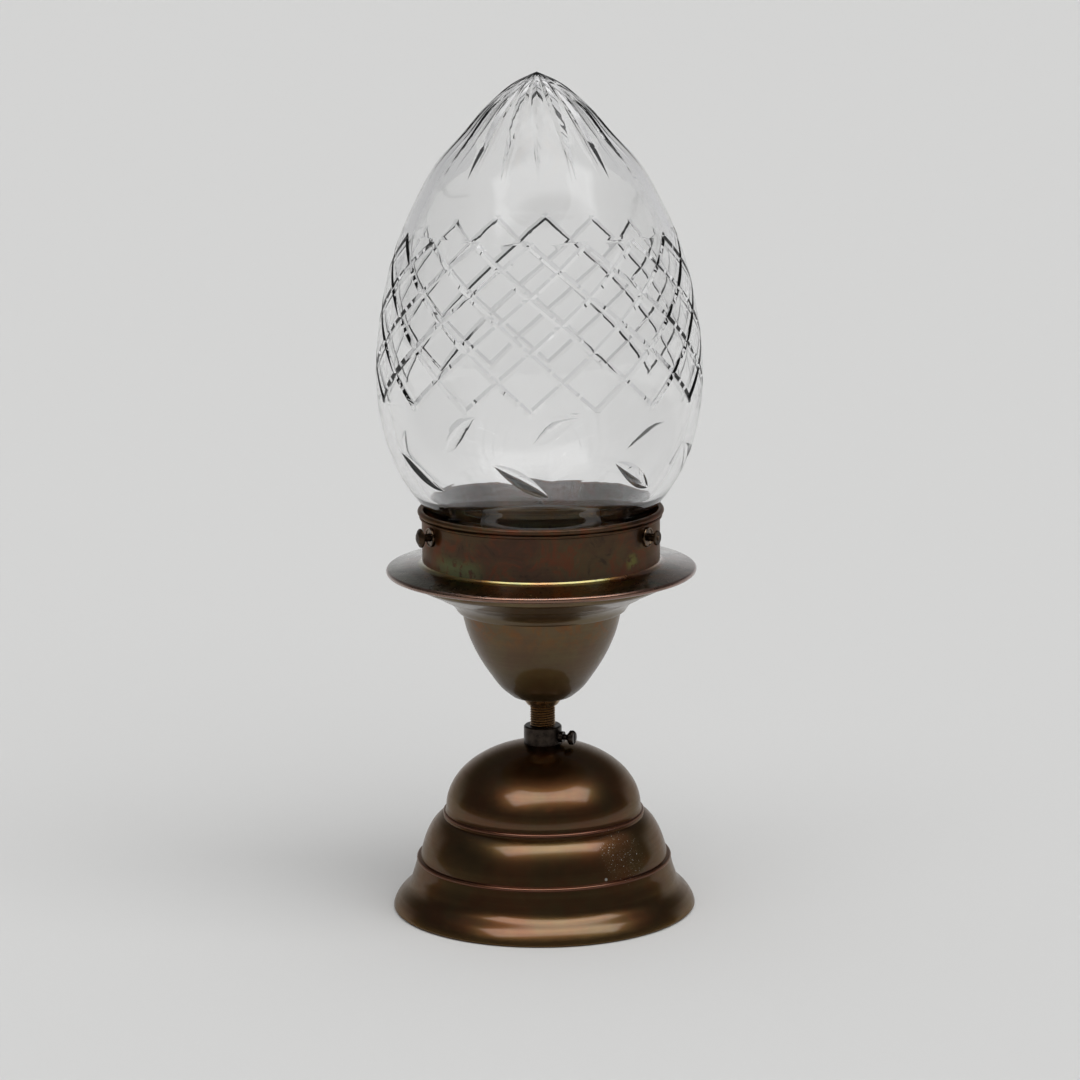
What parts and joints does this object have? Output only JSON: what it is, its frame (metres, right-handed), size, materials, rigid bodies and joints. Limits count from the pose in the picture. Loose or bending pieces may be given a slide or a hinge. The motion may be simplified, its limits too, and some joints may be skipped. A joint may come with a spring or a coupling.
{
  "type": "ceiling lamp",
  "caption": "Egg-shaped cut-glass shade held by screws in a round brass gallery, on a threaded tube with a stepped canopy that covers its ceiling strap.",
  "frame": {"origin": "centre of the canopy's rim, on the ceiling plane", "axes": "+Z along the threaded tube from the ceiling to the tip of the shade, so the lamp stands on its canopy as in the picture; +X along the ceiling strap, towards its terminal block; -Y is the front"},
  "size_m": [0.1268, 0.1268, 0.3302],
  "materials": {
    "old_brass": "tarnished",
    "dark_brass": "dark patina",
    "thread_brass": "aged",
    "bright_brass": "satin",
    "steel": "zinc plated",
    "bakelite": "polished",
    "porcelain": "glazed",
    "crystal": "polished, clear",
    "brown_wire": "matte",
    "black_wire": "matte"
  },
  "bodies": {
    "stem": {"threaded_tube": "thread_brass", "cone_nut": "thread_brass", "cup": "old_brass", "cup_washer": "steel", "cup_nut": "thread_brass", "saucer": "old_brass", "brim": "old_brass", "gallery": "old_brass", "screw_bosses": "old_brass", "holder_bush": "bright_brass", "holder_grub_screw": "steel", "holder_cap": "bakelite", "holder_insert": "porcelain", "wire_clamps": "bright_brass", "clamp_screws": "steel", "screw_shell": "bright_brass", "holder_skirt": "bakelite", "ceiling_strap": "steel", "strap_nut": "thread_brass", "lock_nut": "thread_brass", "terminal_block": "porcelain", "block_screws": "bright_brass", "block_fixing_screw": "steel", "lead_live": "brown_wire", "lead_neutral": "black_wire"},
    "canopy": {"canopy": "old_brass", "collar": "dark_brass"},
    "collar_screw": {"collar_screw": "dark_brass"},
    "shade": {"shade": "crystal"},
    "shade_screw_1": {"shade_screw_1": "thread_brass"},
    "shade_screw_2": {"shade_screw_2": "thread_brass"},
    "shade_screw_3": {"shade_screw_3": "thread_brass"},
    "centre_contact": {"centre_contact": "bright_brass"}
  },
  "joints": [
    {"name": "canopy_slide", "type": "slide", "parent": "stem", "child": "canopy", "axis": [0, 0, 1], "range_m": [0, 0.0082]},
    {"name": "collar_screw_out", "type": "slide", "parent": "canopy", "child": "collar_screw", "axis": [0.9272, -0.3746, 0], "range_m": [0, 0.003]},
    {"name": "shade_screw_1_out", "type": "slide", "parent": "stem", "child": "shade_screw_1", "axis": [0.8788, -0.4772, 0], "range_m": [-0.0028, 0.003]},
    {"name": "shade_screw_2_out", "type": "slide", "parent": "stem", "child": "shade_screw_2", "axis": [0, 1, 0], "range_m": [-0.0028, 0.003]},
    {"name": "shade_screw_3_out", "type": "slide", "parent": "stem", "child": "shade_screw_3", "axis": [-0.9135, -0.4067, 0], "range_m": [-0.0028, 0.003]},
    {"name": "shade_lift", "type": "slide", "parent": "stem", "child": "shade", "axis": [0, 0, 1], "range_m": [0, 0.03]},
    {"name": "contact_press", "type": "slide", "parent": "stem", "child": "centre_contact", "axis": [0, 0, -1], "range_m": [0, 0.0015], "stiffness_N_per_m": 1500}
  ]
}
